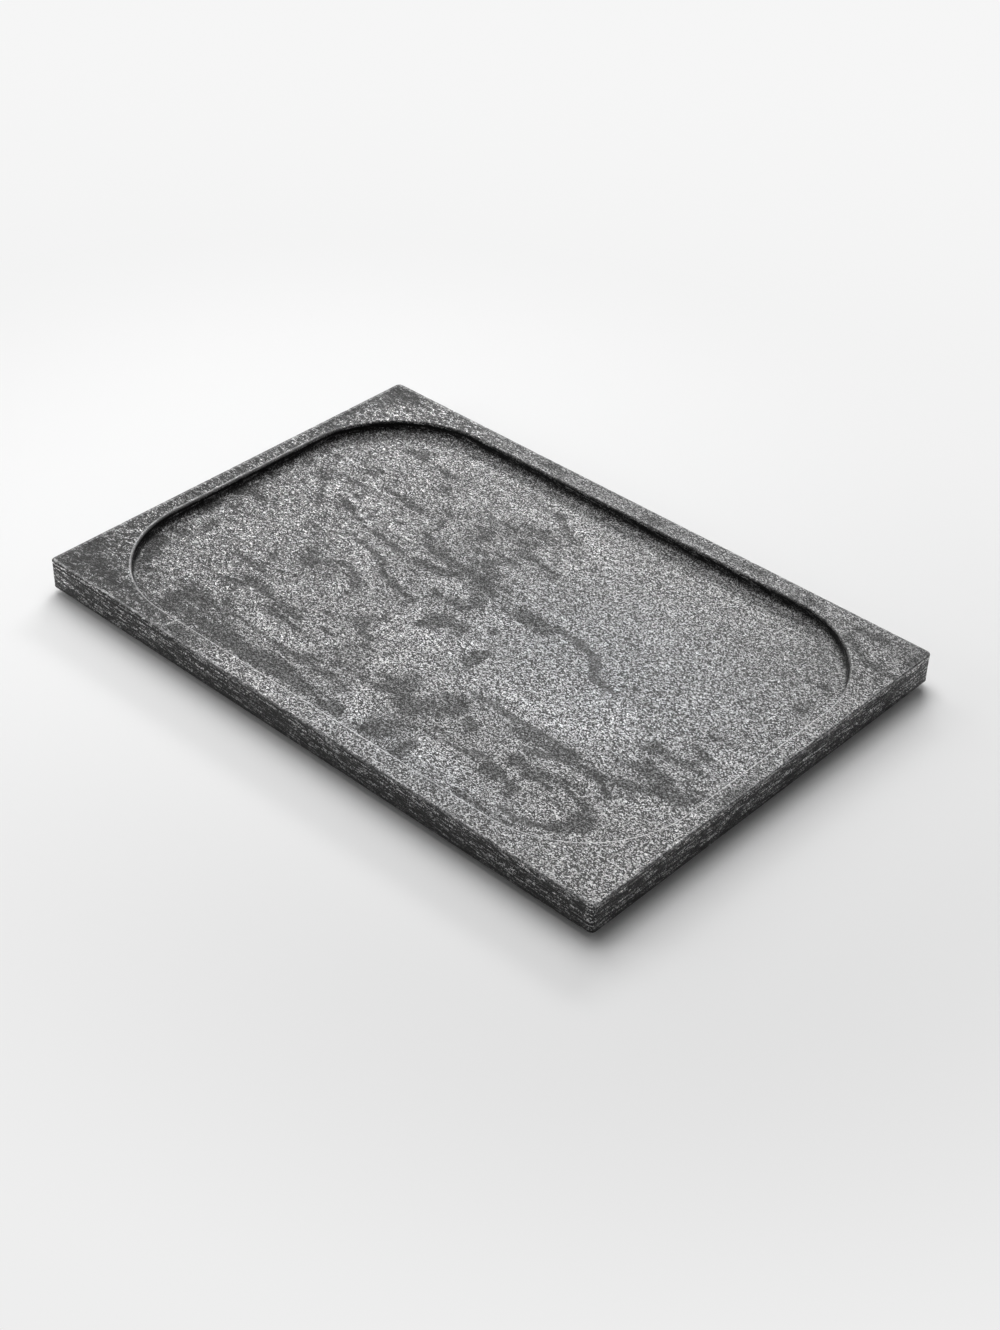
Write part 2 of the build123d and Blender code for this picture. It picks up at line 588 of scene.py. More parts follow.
# Marks of the stone, seen from above: place, long and wide in millimetres, turn in degrees, strength
dark_clouds = (
    # Left third, from back to front
    ((-134, 88.5), (20, 5), 0, 0.50),
    ((-109, 85.5), (17, 7), -4, 0.60),
    ((-97, 73.5), (9, 8), 0, 0.50),
    ((-151, 63), (13, 6), -10, 0.45),
    ((-136, 59), (11, 8), 0, 0.50),
    ((-141, 54), (13, 7), 0, 0.40),
    ((-113, 50), (18, 4), 0, 0.75),
    ((-99, 48.5), (14, 5), 0, 0.65),
    ((-87, 47), (16, 4), 0, 0.40),
    ((-137, 43.5), (13, 9), 0, 0.50),
    ((-126.5, 34), (7, 4), 0, 0.60),
    ((-153, 34), (7, 5), -20, 0.80),
    ((-146, 25), (27, 3.5), -52, 0.55),
    ((-128, 25), (28, 5), -16, 0.55),
    ((-123, 22.5), (14, 9), -15, 0.55),
    ((-110, 18.5), (9, 4), 0, 0.60),
    ((-138, 15), (11, 5), -35, 0.50),
    ((-125.5, 13.5), (6, 14), 0, 0.45),
    ((-164, 18.5), (6, 4), 0, 0.60),
    ((-94, 15), (16, 4), -3, 0.45),
    ((-75, 12), (14, 5), 0, 0.50),
    ((-63, 25.5), (15, 6), 0, 0.50),
    ((-73, 46), (5, 15), 8, 0.60),
    ((-78, 54), (14, 14), 0, 0.35),
    ((-91, 31), (6, 3), 0, 0.50),
    ((-72, 19), (9, 3), 0, 0.50),
    ((-95, 62), (14, 10), 0, 0.35),
    ((-74, 33), (16, 8), 0, 0.35),
    ((-171.5, 41), (6, 8), 0, 0.70),
    ((-163, 55), (5, 5), 0, 0.55),
    ((-70, -2), (7, 6), 0, 0.60),
    ((-120, -3.5), (18, 3.5), -14, 0.80),
    ((-138.5, 4), (11, 4), 10, 0.40),
    ((-104, -14), (9, 14), 0, 0.45),
    ((-103, -24), (18, 11), -20, 0.60),
    ((-97, -30), (16, 8), -15, 0.50),
    ((-74, -21.5), (12, 7), 0, 0.85),
    ((-81, -17.5), (16, 4), -5, 0.55),
    ((-87, -21), (13, 6), 0, 0.50),
    ((-67, -27), (11, 9), -30, 0.55),
    ((-64, -35), (10, 5), 0, 0.60),
    ((-82, -32), (12, 6), 0, 0.30),
    ((-118, -38), (21, 5), -58, 0.50),
    ((-113.5, -50), (5, 7), 0, 0.65),
    ((-126, -50), (16, 5), 0, 0.50),
    ((-117, -69.5), (17, 5), 15, 0.80),
    ((-106, -63.5), (16, 8), 5, 0.75),
    ((-94, -64), (16, 7), 0, 0.55),
    ((-104, -73), (12, 10), 0, 0.35),
    ((-84, -67.5), (13, 10), 0, 0.50),
    ((-71, -66), (15, 8), 0, 0.45),
    ((-66, -74.5), (24, 4), -6, 0.75),
    ((-82, -73.5), (16, 4), 0, 0.50),
    ((-72, -89.5), (34, 3.5), -2, 0.75),
    ((-124, -95), (13, 17), 0, 0.75),
    ((-115, -91), (17, 8), 0, 0.55),
    ((-123, -107.5), (11, 7), 0, 0.95),
    ((-90, -104), (54, 14), 0, 0.70),
    ((-98, -92), (30, 8), 0, 0.40),
    ((-135, -88.5), (6, 4), 0, 0.65),
    ((-103, -82), (10, 6), 0, 0.40),
    ((-147, -103.5), (14, 4), -35, 0.50),
    # Spots along the left wall
    ((-165.5, -5), (12, 5), -25, 0.85),
    ((-177, -8), (8, 11), 0, 0.95),
    ((-167, -20), (6, 8), 0, 0.70),
    ((-161.5, -23), (11, 2.6), -5, 0.85),
    ((-176.5, -29.5), (7, 12), 0, 0.85),
    ((-161.5, -43.5), (7, 11), 0, 0.90),
    ((-168.5, -56.5), (10, 9), 0, 0.95),
    ((-169, -72), (10, 8), 0, 0.90),
    ((-165, -81), (8, 7), 0, 0.85),
    ((-176, -75), (10, 14), 0, 0.75),
    ((-154.5, -93.5), (7, 4), 0, 0.85),
    ((-164, -89), (14, 5), -45, 0.70),
    # Middle third
    ((-33.5, 98), (6, 6), 0, 0.80),
    ((-22, 91), (22, 6), -35, 0.50),
    ((-10, 86.5), (13, 5), -35, 0.60),
    ((-25, 80), (22, 18), 0, 0.40),
    ((-40, 70.5), (14, 4), 0, 0.55),
    ((-26, 66), (13, 8), 0, 0.65),
    ((-40, 64), (20, 7), 0, 0.45),
    ((-5, 64), (6, 6), 0, 0.55),
    ((-21, 57), (14, 7), 0, 0.55),
    ((-7, 56), (24, 5), -14, 0.60),
    ((2, 50.5), (18, 3), -5, 0.50),
    ((-54, 57), (16, 8), 0, 0.50),
    ((-46, 52.5), (12, 7), 0, 0.55),
    ((-53.5, 47.5), (10, 3), 0, 0.65),
    ((-28, 47.5), (17, 4), 0, 0.80),
    ((-41, 42.5), (11, 3.5), 0, 0.75),
    ((-29, 36), (18, 12), 0, 0.60),
    ((-52, 25), (20, 8), 0, 0.55),
    ((-33, 24), (26, 8), 0, 0.65),
    ((-20, 25), (10, 16), 0, 0.45),
    ((-48, 13.5), (20, 6), 0, 0.60),
    ((-59, 11.5), (9, 7), 0, 0.50),
    ((-37, 16.5), (14, 4), 0, 0.45),
    ((-53, 3.5), (15, 5), 0, 0.45),
    ((-14, 12), (16, 30), 0, 0.45),
    ((-9, 6), (8, 8), 0, 0.45),
    ((-7, 27), (6, 6), 0, 0.50),
    ((-31, -2), (9, 5), -20, 0.70),
    ((-16, -3), (20, 7), -10, 0.45),
    ((-54, -11), (20, 5), -20, 0.60),
    ((-40, -14.5), (27, 4), -3, 0.60),
    ((-5, -15), (17, 10), 10, 0.75),
    ((-13.5, -20), (11, 11), 0, 0.70),
    ((-16, -26.5), (10, 9), 0, 0.65),
    ((24, -21.5), (7, 8), 0, 0.70),
    ((23, -29.5), (8, 11), 0, 0.75),
    ((26.5, -38), (9, 3), -40, 0.45),
    ((15, 15.5), (24, 10), 0, 0.42),
    ((30, 14), (22, 15), 0, 0.50),
    ((34.5, 20.5), (5, 3), 0, 0.60),
    ((14, -6.5), (7, 6), 0, 0.50),
    ((35, -9), (20, 4), 0, 0.32),
    ((-40.5, -44), (11, 13), 0, 0.70),
    ((-33, -36.5), (9, 4), 35, 0.50),
    ((-35, -52), (12, 8), -30, 0.50),
    ((-53, -55), (25, 3), -12, 0.45),
    ((-25, -58), (16, 6), -25, 0.50),
    ((-48, -66), (12, 5), 0, 0.50),
    ((-27, -72), (26, 14), 0, 0.38),
    ((-10, -73), (16, 14), 0, 0.34),
    ((11, -63.5), (9, 12), -20, 0.65),
    ((4, -70), (11, 8), 0, 0.60),
    ((6, -78.5), (11, 7), 0, 0.70),
    ((17, -73), (13, 13), -40, 0.50),
    ((25, -79), (15, 10), 0, 0.45),
    ((37, -60), (15, 9), 0, 0.50),
    ((44, -66), (9, 17), 0, 0.60),
    ((34, -73.5), (15, 12), 0, 0.50),
    ((31, -86), (22, 14), 0, 0.48),
    ((51, -88.5), (10, 3), 0, 0.70),
    ((52, -82), (22, 4), 0, 0.40),
    ((51, -54), (24, 9), 0, 0.40),
    ((-36, -83), (9, 9), 0, 0.55),
    ((-25, -80), (9, 6), 0, 0.50),
    ((-50, -91), (24, 5), 0, 0.65),
    ((-22, -91), (26, 8), 0, 0.50),
    ((-8, -95), (9, 7), 0, 0.50),
    ((-42, -101), (24, 8), 0, 0.65),
    ((-53, -107), (30, 8), 0, 0.65),
    ((-20, -106), (44, 9), 0, 0.62),
    ((0, -105), (14, 10), 0, 0.62),
    ((24, -104), (18, 14), 0, 0.60),
    ((33, -101), (14, 12), 0, 0.45),
    ((46.5, -105), (10, 13), 0, 0.75),
    # Right third
    ((60, -72), (11, 8), -30, 0.65),
    ((80, -55), (24, 10), 0, 0.50),
    ((106, -55), (19, 9), 0, 0.75),
    ((124.5, -54.5), (13, 6), 0, 0.65),
    ((140, -64), (15, 6), -35, 0.70),
    ((90, -73), (9, 11), 0, 0.55),
    ((100, -72), (18, 9), 0, 0.42),
    ((120, -69), (22, 7), 4, 0.60),
    ((127, -74), (22, 3), -5, 0.55),
    ((137.5, -75), (7, 5), 0, 0.75),
    ((116, -78), (15, 3), -10, 0.55),
    ((103, -79), (10, 6), 0, 0.50),
    ((88, -88), (10, 10), 0, 0.95),
    ((98, -88), (20, 5), -3, 0.65),
    ((106, -94), (8, 10), -20, 0.50),
    ((127.5, -84.5), (11, 4), 0, 0.70),
    ((143, -85), (13, 12), 0, 0.70),
    ((147, -90), (9, 8), 0, 0.50),
    ((141, -94), (13, 8), 30, 0.60),
    ((135, -98), (13, 6), 25, 0.60),
    ((92, -110), (34, 6), 4, 0.60),
    ((117, -110), (18, 4), 8, 0.45),
    ((149, 6), (7, 6), 0, 0.50),
    ((170, 2), (15, 4), 15, 0.55),
    ((156, -8), (15, 5), -15, 0.95),
    ((147, -5), (12, 4), 20, 0.55),
    ((154.5, -15), (6, 11), -25, 0.55),
    ((162, -19), (15, 4), 0, 0.55),
    ((131.5, -19.5), (11, 8), 30, 0.65),
    ((129, -24), (9, 4), 0, 0.50),
    ((144, -22), (16, 8), 0, 0.42),
    ((141, -30), (17, 6), -20, 0.50),
    ((139, -37), (13, 8), 0, 0.70),
    ((153, -38), (17, 12), 0, 0.60),
    ((156, -45), (22, 7), 0, 0.50),
    ((169, -39), (15, 10), 0, 0.60),
    ((169, -31), (11, 4), 0, 0.55),
    ((126, -40), (6, 4), 0, 0.50),
    ((141, -50), (18, 5), 15, 0.55),
    ((147.5, -53.5), (6, 5), 0, 0.45),
    ((169, 28.5), (9, 5), 0, 0.55),
    ((154.5, 75.5), (5, 4), 0, 0.50),
    ((162.5, 76), (6, 5), 0, 0.55),
    ((166, 54), (9, 18), 0, 0.35),
    ((99, 76), (22, 8), 0, 0.28),
)
rim_dark_clouds = (
    ((-184, 123), (11, 9), 0, 0.80),
    ((-171, 122), (14, 6), -30, 0.60),
    ((-179, 112), (18, 6), -20, 0.45),
    ((-158, 124), (16, 5), 0, 0.30),
    ((-187, 88), (5, 30), 0, 0.55),
    ((-185, 66), (6, 16), 0, 0.55),
    ((-186, 20), (5, 18), 0, 0.40),
    ((-184, -38), (8, 26), 0, 0.35),
    ((-184, -104), (10, 12), 0, 0.60),
    ((-172, -92), (6, 4), 0, 0.80),
    ((-171, -115), (26, 12), 0, 0.60),
    ((-148, -119), (26, 12), 0, 0.55),
    ((-120, -124), (20, 6), 0, 0.40),
    ((-98, -124), (24, 8), 0, 0.50),
    ((-66, 124), (24, 6), 0, 0.40),
    ((12, 124), (14, 6), 0, 0.45),
    ((46, 124), (12, 5), 0, 0.35),
    ((78, 124), (24, 6), 0, 0.40),
    ((118, 121), (20, 4), 0, 0.55),
    ((160, 121), (34, 5), 4, 0.70),
    ((155, 109), (16, 3.5), -30, 0.80),
    ((166, 103), (14, 4), -25, 0.80),
    ((181, 99), (22, 4.5), -5, 0.70),
    ((187, 118), (6, 16), 0, 0.50),
    ((187, -22), (6, 26), 0, 0.45),
    ((184, 62), (10, 8), 0, 0.35),
)
veins = (
    ((-62, 72.5), (14, 2.2), -28, 0.9),
    ((-51, 70.5), (20, 2.2), 2, 0.7),
    ((-90, 3), (22, 2.8), -11, 0.8),
    ((-77, 0.5), (14, 3.0), -8, 0.8),
    ((-62, -9), (16, 3.0), -35, 0.8),
    ((45, 18), (18, 4.0), -4, 0.8),
    ((54, 17), (16, 4.0), -8, 1.0),
    ((62.5, 15), (14, 4.2), -16, 1.0),
    ((69, 10), (12, 4.6), -42, 1.0),
    ((73.5, 4.5), (11, 5.0), -52, 1.0),
    ((78, 0.5), (9, 4.4), -20, 1.0),
    ((85, -1), (14, 3.0), -3, 0.9),
    ((50, -49.5), (20, 3.0), 0, 0.8),
    ((67, -50.5), (26, 4.0), 0, 0.7),
    ((95, -50.5), (28, 3.4), -3, 0.7),
    ((101, -60), (18, 3.4), 16, 0.7),
    ((93, -64), (14, 3.0), 12, 0.7),
    ((133, -58.5), (15, 3.2), -30, 0.8),
    ((65, -86), (18, 2.8), 3, 0.8),
    ((78, -83), (12, 2.8), 8, 0.8),
    ((127, -102), (16, 3.4), 16, 0.9),
    ((116, -104), (16, 3.0), -6, 0.9),
    ((57, 55.5), (6, 3), 0, 0.5),
    ((43, 50.5), (5, 3), 0, 0.5),
)
light_clouds = (
    ((-141, 78), (38, 18), 0, 0.45),
    ((-138, 70), (22, 8), 0, 0.35),
    ((-114.5, 94), (15, 9), 0, 0.70),
    ((-126, 98), (26, 9), 0, 0.45),
    ((-106, 105), (22, 6), 0, 0.60),
    ((-74, 105), (14, 4), 0, 0.50),
    ((-156, 57), (7, 7), 0, 0.60),
    ((-147, 38), (22, 10), -28, 0.50),
    ((-107, 35), (24, 11), -8, 0.50),
    ((-108, 59), (14, 11), 0, 0.45),
    ((-131.5, 20.5), (13, 4), -30, 0.50),
    ((-103, 19), (9, 12), -20, 0.45),
    ((-88, 26), (11, 6), 0, 0.50),
    ((-75, 24), (7, 4), 0, 0.50),
    ((-81.5, -5), (15, 8), -15, 0.95),
    ((-95, -1), (24, 4), -8, 0.60),
    ((-76, -12), (13, 5), 0, 0.50),
    ((-63, -15.5), (15, 6), -20, 0.50),
    ((-75, -34), (9, 8), 0, 0.90),
    ((-138, -54), (18, 11), 0, 0.30),
    ((-156, -68), (11, 9), 0, 0.35),
    ((-103, -46), (22, 8), 0, 0.25),
    ((-70, -83), (40, 8), -2, 0.80),
    ((-148, -25), (30, 30), 0, 0.20),
    ((-36, 105), (20, 4), 0, 0.75),
    ((-48, 90.5), (25, 9), 0, 0.75),
    ((-42, 77), (30, 6), 0, 0.40),
    ((-12, 96), (30, 9), -14, 0.90),
    ((7, 83), (15, 18), 0, 0.50),
    ((-45, 18), (22, 2.4), 0, 0.40),
    ((-26, 9), (13, 9), 0, 0.70),
    ((-41, 4), (16, 5), 0, 0.55),
    ((9.5, 4), (17, 5), 0, 0.75),
    ((2, 43.5), (22, 7), 0, 0.35),
    ((5, 65), (12, 7), 0, 0.40),
    ((-25, -19), (8, 14), 0, 0.55),
    ((-44, -22), (15, 7), 0, 0.35),
    ((3, -32), (36, 14), 0, 0.45),
    ((-10, -40), (40, 14), 0, 0.50),
    ((-25, -46.5), (13, 9), 0, 0.50),
    ((8, -50), (22, 8), 0, 0.60),
    ((12, -55), (7, 6), 0, 0.60),
    ((33.5, -45), (12, 8), 0, 0.70),
    ((11, -21), (11, 14), 0, 0.40),
    ((24, -62), (5, 18), 0, 0.70),
    ((-6, -63), (16, 8), 0, 0.45),
    ((-39, -72), (9, 11), -40, 0.60),
    ((-55, -84), (18, 6), 0, 0.50),
    ((6.5, -91), (16, 14), -10, 0.85),
    ((12, -99), (7, 13), 0, 0.80),
    ((-48, -97.5), (11, 4), 0, 0.60),
    ((60, -98), (22, 18), 0, 0.60),
    ((76, -99), (20, 14), 0, 0.35),
    ((93, -103), (14, 6), 0, 0.40),
    ((123, -96), (18, 8), 0, 0.50),
    ((126, -89), (13, 5), 0, 0.75),
    ((116, -73.5), (11, 3), -15, 0.70),
    ((115, -82), (15, 4), 0, 0.55),
    ((156, -56), (22, 13), 0, 0.50),
    ((173, -6), (5, 11), 0, 0.55),
    ((62, -20), (80, 34), 0, 0.30),
    ((80, -38), (70, 12), 0, 0.40),
    ((108, -18), (30, 30), 0, 0.40),
    ((114.5, -23.5), (9, 7), 0, 0.50),
    ((85, -63), (7, 4), 0, 0.50),
    ((159.5, 41), (3.4, 8), -15, 1.60),
    ((109.5, 34), (4, 4), 0, 0.80),
    ((125, 26), (4, 4), 0, 0.70),
    ((99, 53.5), (20, 3), -12, 0.50),
)
rim_light_clouds = (
    ((170, 111), (24, 8), -8, 0.80),
    ((144, 123), (12, 5), 0, 0.50),
    ((-165, 110), (16, 8), 40, 0.60),
    ((-150, 122), (24, 5), 0, 0.40),
    ((-184, 40), (6, 16), 0, 0.50),
    ((-60, -124), (40, 8), 0, 0.50),
    ((-10, -124), (60, 8), 0, 0.30),
    ((-176, -76), (8, 10), 0, 0.50),
)
broad_tones = (
    ((-60, 35), (150, 90), 0, -0.16),
    ((-60, -95), (190, 50), 0, -0.05),
    ((90, -85), (150, 60), 0, -0.12),
    ((-165, -120), (110, 50), 0, -0.30),
    ((-185, -100), (30, 90), 0, -0.20),
    ((140, 75), (100, 80), 0, -0.20),
    ((155, 98), (60, 50), 0, -0.22),
    ((-120, 40), (120, 160), 0, 0.26),
    ((-110, -50), (130, 110), 0, 0.12),
)
rim_tones = (
    ((0, 135), (700, 70), 0, -0.42),
    ((-195, 10), (50, 420), 0, -0.60),
    ((-145, -128), (180, 70), 0, -0.55),
    ((-185, 122), (60, 40), 0, -0.20),
    ((185, 122), (70, 45), 0, -0.35),
    ((188, -22), (30, 40), 0, -0.25),
    ((125, -128), (170, 40), 0, -0.20),
    ((-186, -88), (24, 50), 0, -0.18),
    ((-48, -125), (50, 20), 0, 0.25),
    ((-155, -125), (60, 20), 0, 0.12),
    ((165, 112), (60, 40), 0, 0.12),
    ((-165, 112), (60, 40), 0, 0.08),
)
# Painted reflection: where the mica's colour takes a bluish tint from the sky it mirrors
reflected_blue_areas = (
    ((80, 10), (280, 200), 0, 1.0),
    ((60, -110), (220, 60), 0, 0.8),
)
even_areas = (
    ((95, 55), (230, 140), 0, 0.9),
    ((70, -25), (150, 70), 0, 0.4),
    ((60, -124), (260, 14), 0, 0.8),
)
stone_colour = (0.170, 0.170, 0.170)
reflected_blue_colour = (0.975, 1.0, 1.03)
side_shade = 0.52
split_depth = 2.6 * mm
dark_layer_depth = 5 * mm
right_side = (slab_high.x - 6 * mm, slab_high.x - 2 * mm)

# How many times as wide as its mark each kind of spot is drawn
cloud_spread = 1.6
vein_spread = 1.8
tone_spread = 1.3

# Size of the stone's blobs, streaks and grains along X, Y and Z
coarse_edge_size = (22 * mm, 13 * mm, 13 * mm)
coarse_edge_reach = (7 * mm, 5 * mm, 0)
fine_edge_size = (6 * mm, 3 * mm, 3 * mm)
fine_edge_reach = (8 * mm, 4 * mm, 0)
cloud_size = (30 * mm, 12 * mm, 12 * mm)
streak_size = (9 * mm, 1.8 * mm, 2 * mm)
flake_size = (0.60 * mm, 0.52 * mm, 0.45 * mm)
speck_size = (0.85 * mm, 0.62 * mm, 0.58 * mm)
fleck_size = (2.8 * mm, 1.6 * mm, 1.8 * mm)
stripe_size = (60 * mm, 60 * mm, 1.3 * mm)
dash_size = (8 * mm, 8 * mm, 1.1 * mm)
pit_size = (0.8 * mm, 0.7 * mm, 0.7 * mm)
pit_depth = 0.3 * mm


def stone_finish():
    """Layered mica stone: clouds and veins on the flat faces, stripes along the layers on the sides.

    Much of it changes along X, because the left of the slab is coarser than the right.
    """
    stone = Finish("layered_stone", roughness=0.5)
    stone.shader.inputs["Specular IOR Level"].default_value = 0.4
    where = stone.place
    x, y, z = stone.parts(where)
    on_rim = stone.spread(z, floor_height + 4 * mm, top_height - mm)
    even = stone.maths("MINIMUM", stone.spots(where, even_areas), 1.0)
    restless = stone.times(stone.grade(even, 1.0, 0.3), stone.spread(x, -40 * mm, -100 * mm, 1.0, 1.25))

    # Clouds and veins with ragged outlines
    coarse_push = stone.push(where, coarse_edge_size, 4, 0.6, coarse_edge_reach)
    fine_push = stone.push(where, fine_edge_size, 3, 0.65, fine_edge_reach)
    ragged = stone.vector("ADD", where, stone.vector("ADD", coarse_push, fine_push))
    clouds = stone.maths("SUBTRACT", stone.noise(where, cloud_size, 5, 0.62), 0.5)
    streaks = stone.maths("SUBTRACT", stone.noise(where, streak_size, 3, 0.65), 0.5)
    streaks = stone.times(streaks, restless)
    mottle = stone.maths("MULTIPLY_ADD", streaks, 1.5, stone.times(clouds, 1.1, restless))
    pale_mottle = stone.times(mottle, -1.0)
    dark = stone.blend(
        on_rim,
        stone.spots(ragged, dark_clouds, cloud_spread, mottle),
        stone.spots(ragged, rim_dark_clouds, cloud_spread, mottle),
    )
    dark = stone.spread(dark, 0.16, 0.37)
    light = stone.blend(
        on_rim,
        stone.spots(ragged, light_clouds, cloud_spread, pale_mottle),
        stone.spots(ragged, rim_light_clouds, cloud_spread, pale_mottle),
    )
    light = stone.spread(light, 0.10, 0.45)
    vein = stone.spread(stone.spots(ragged, veins, vein_spread), 0.12, 0.5)
    vein = stone.times(vein, stone.maths("SUBTRACT", 1.0, on_rim))

    # Grain: small flakes, some of them bright, and larger specks, each with a tone of its own
    flake = stone.parts(stone.cells(where, flake_size))
    bright_flake = stone.spread(flake[0], 0.35, 0.72, soft=False)
    speck = stone.parts(stone.cells(where, speck_size))
    speck_contrast = stone.spread(x, -20 * mm, -120 * mm, 0.15, 0.6)
    grain = stone.times(
        stone.grade(bright_flake, 0.02, 2.35),
        stone.spread(speck[0], 0.22, 0.36, 0.05, 1.0),
        stone.spread(speck[1], 0.80, 0.92, 1.0, 1.6),
        stone.maths("MULTIPLY_ADD", stone.grade(speck[2], -1.0, 1.0), speck_contrast, 1.0),
    )

    # Flat faces: broad tones, clouds, veins, streaks and flecks
    flecks = stone.spread(stone.noise(where, fleck_size, 3, 0.7), 0.44, 0.58, -1.0, 1.2)
    fleck_share = stone.maths(
        "MULTIPLY_ADD",
        on_rim,
        stone.spread(x, -60 * mm, -150 * mm, 0.0, 0.58),
        stone.spread(x, -50 * mm, -130 * mm, 0.0, 0.34),
    )
    darkest = stone.maths("MULTIPLY_ADD", on_rim, 0.12, stone.spread(x, -30 * mm, -110 * mm, 0.40, 0.30))
    flat_tone = stone.times(
        stone.spots(where, broad_tones, tone_spread, 1.0),
        stone.blend(on_rim, 1.0, stone.spots(where, rim_tones, tone_spread, 1.0)),
        stone.grade(dark, 1.0, darkest),
        stone.grade(light, 1.0, 1.4),
        stone.grade(vein, 1.0, 0.36),
        stone.maths("MULTIPLY_ADD", streaks, 1.5, 1.0),
        stone.maths("MULTIPLY_ADD", flecks, fleck_share, 1.0),
        grain,
    )

    # Sides: stripes and short light dashes, a split at the left and a dark layer at the right, darker
    # towards the bottom, with painted shade along the lowest 3 mm
    dipping = stone.joined(x, y, stone.maths("MULTIPLY_ADD", x, 0.05, z))
    stripes = stone.noise(dipping, stripe_size, 4, 0.7)
    dashes = stone.noise(dipping, dash_size, 3, 0.65)
    split = stone.times(
        stone.band(z, top_height - split_depth, 0.4 * mm, 0.4 * mm),
        stone.spread(x, -50 * mm, -110 * mm, 0.0, 1.0),
    )
    dark_layer = stone.times(
        stone.band(z, top_height - dark_layer_depth, 0.8 * mm, 0.8 * mm),
        stone.spread(x, *right_side, 0.0, 0.65),
    )
    side_tone = stone.times(
        stone.spread(stripes, 0.40, 0.60, 0.25 * side_shade, 1.9 * side_shade, soft=False),
        stone.spread(dashes, 0.45, 0.58, 0.10, 2.5),
        stone.spread(x, -90 * mm, -150 * mm, 1.0, 1.5),
        stone.spread(x, *right_side, 1.0, 1.65),
        stone.spread(z, underside_height, top_height, 0.45, 1.2),
        stone.maths("SUBTRACT", 1.0, split),
        stone.maths("SUBTRACT", 1.0, dark_layer),
        # Painted shade along the bottom of the sides, over the shaded gap under the slab
        stone.spread(z, underside_height, underside_height + 3 * mm, 0.25, 1.0),
        grain,
    )

    # Edges rubbed light, partly wear and partly painted highlight: the recess's most at the front, and
    # the slab's own most at the left
    past_recess = stone.past_outline(where, recess_length, recess_width, recess_corner_radius)
    past_slab = stone.past_outline(where, slab_length, slab_width, slab_corner_radius)
    worn_and_lit_recess_edge = stone.times(
        stone.band(past_recess, 0.4 * mm, 0.4 * mm, 0.6 * mm),
        stone.spread(y, 90 * mm, 30 * mm, 0.15, 0.75),
    )
    worn_and_lit_line = stone.spread(x, -60 * mm, -130 * mm, -0.5 * mm, -1.5 * mm)
    worn_and_lit_outer_edge = stone.times(
        stone.band(past_slab, worn_and_lit_line, 0.4 * mm, 0.6 * mm),
        stone.spread(flecks, -1.0, 1.3, 0.2, 0.7),
        stone.spread(x, -60 * mm, -130 * mm, 0.45, 1.0),
    )
    worn_and_lit_edges = stone.times(
        stone.maths("MAXIMUM", worn_and_lit_recess_edge, worn_and_lit_outer_edge),
        stone.spread(z, top_height - 2 * mm, top_height - mm),
    )
    worn_and_lit_tone = stone.times(
        stone.spread(x, -110 * mm, -40 * mm, 2.2, 3.0),
        stone.spread(bright_flake, 0, 1, 0.75, 1.25),
    )

    # All of them together, with painted shade on the wall and the cove of the recess
    normal = stone.nodes.new("ShaderNodeNewGeometry").outputs["Normal"]
    level = stone.spread(stone.maths("ABSOLUTE", stone.parts(normal)[2]), 0.15, 0.5)
    tone = stone.blend(worn_and_lit_edges, stone.blend(level, side_tone, flat_tone), worn_and_lit_tone)
    tone = stone.times(tone, stone.spread(stone.painted("painted_recess_shade"), 0, 1, 1.0, 0.4))
    # Painted reflection of the sky in the mica, as a bluish tint
    reflected_blue_share = stone.maths("MINIMUM", stone.spots(where, reflected_blue_areas), 1.0)
    reflected_blue = stone.mixed(reflected_blue_share, (1, 1, 1, 1), (*reflected_blue_colour, 1))
    colour = stone.vector("MULTIPLY", reflected_blue, stone.joined(tone, tone, tone))
    stone.wire(stone.vector("MULTIPLY", colour, stone_colour), stone.shader.inputs["Base Color"])

    # Mica: the bright flakes are glossy, and the dark clouds hold fewer of them
    dull = stone.maths("MULTIPLY_ADD", dark, 0.14, stone.grade(bright_flake, 0.46, 0.34))
    stone.wire(dull, stone.shader.inputs["Roughness"])
    mica = stone.times(stone.spread(bright_flake, 0.2, 1.0, 0.0, 0.45), stone.grade(dark, 1.0, 0.5))
    stone.wire(mica, stone.shader.inputs["Metallic"])
    pits = stone.noise(where, pit_size, 2, 0.7)
    stone.relief(stone.maths("MULTIPLY_ADD", streaks, 1.5, pits), pit_depth)
    return stone.material


# Rubber and foam
rubber_black = (0.012, 0.012, 0.013, 1)
rubber_dust = (0.035, 0.034, 0.033, 1)
dust_size = (2 * mm, 2 * mm, 2 * mm)
rubber_pit_size = (0.3 * mm, 0.3 * mm, 0.3 * mm)
foam_pore = (0.03, 0.03, 0.03, 1)
foam_wall = (0.09, 0.09, 0.09, 1)
foam_cell_size = (0.12 * mm, 0.12 * mm, 0.12 * mm)


def rubber_finish():
    """Matt black moulded rubber with a little dust."""
    rubber = Finish("black_rubber", roughness=0.7)
    dust = rubber.spread(rubber.noise(rubber.place, dust_size, 4, 0.6), 0.45, 0.75)
    rubber.wire(rubber.mixed(dust, rubber_black, rubber_dust), rubber.shader.inputs["Base Color"])
    rubber.wire(rubber.spread(dust, 0, 1, 0.6, 0.8), rubber.shader.inputs["Roughness"])
    rubber.relief(rubber.noise(rubber.place, rubber_pit_size, 2), 0.02 * mm)
    return rubber.material


def foam_finish():
    """Dark grey closed-cell foam with its cut cells showing."""
    foam = Finish("foam_tape", roughness=0.9)
    cell = foam.cells(foam.place, foam_cell_size, "Distance")
    foam.wire(foam.mixed(cell, foam_pore, foam_wall), foam.shader.inputs["Base Color"])
    foam.relief(cell, 0.03 * mm)
    return foam.material


# Studio: pale table, soft light and the camera of the photograph
table_size = 14
table_colour = (0.90, 0.90, 0.90, 1)
near_tray = 0.18
far_from_tray = 0.42
far_tones = (0.855, 0.92)
away_from_camera = (-0.67, 0.74, 0)
room_light = 0.07
pale_room = 0.80
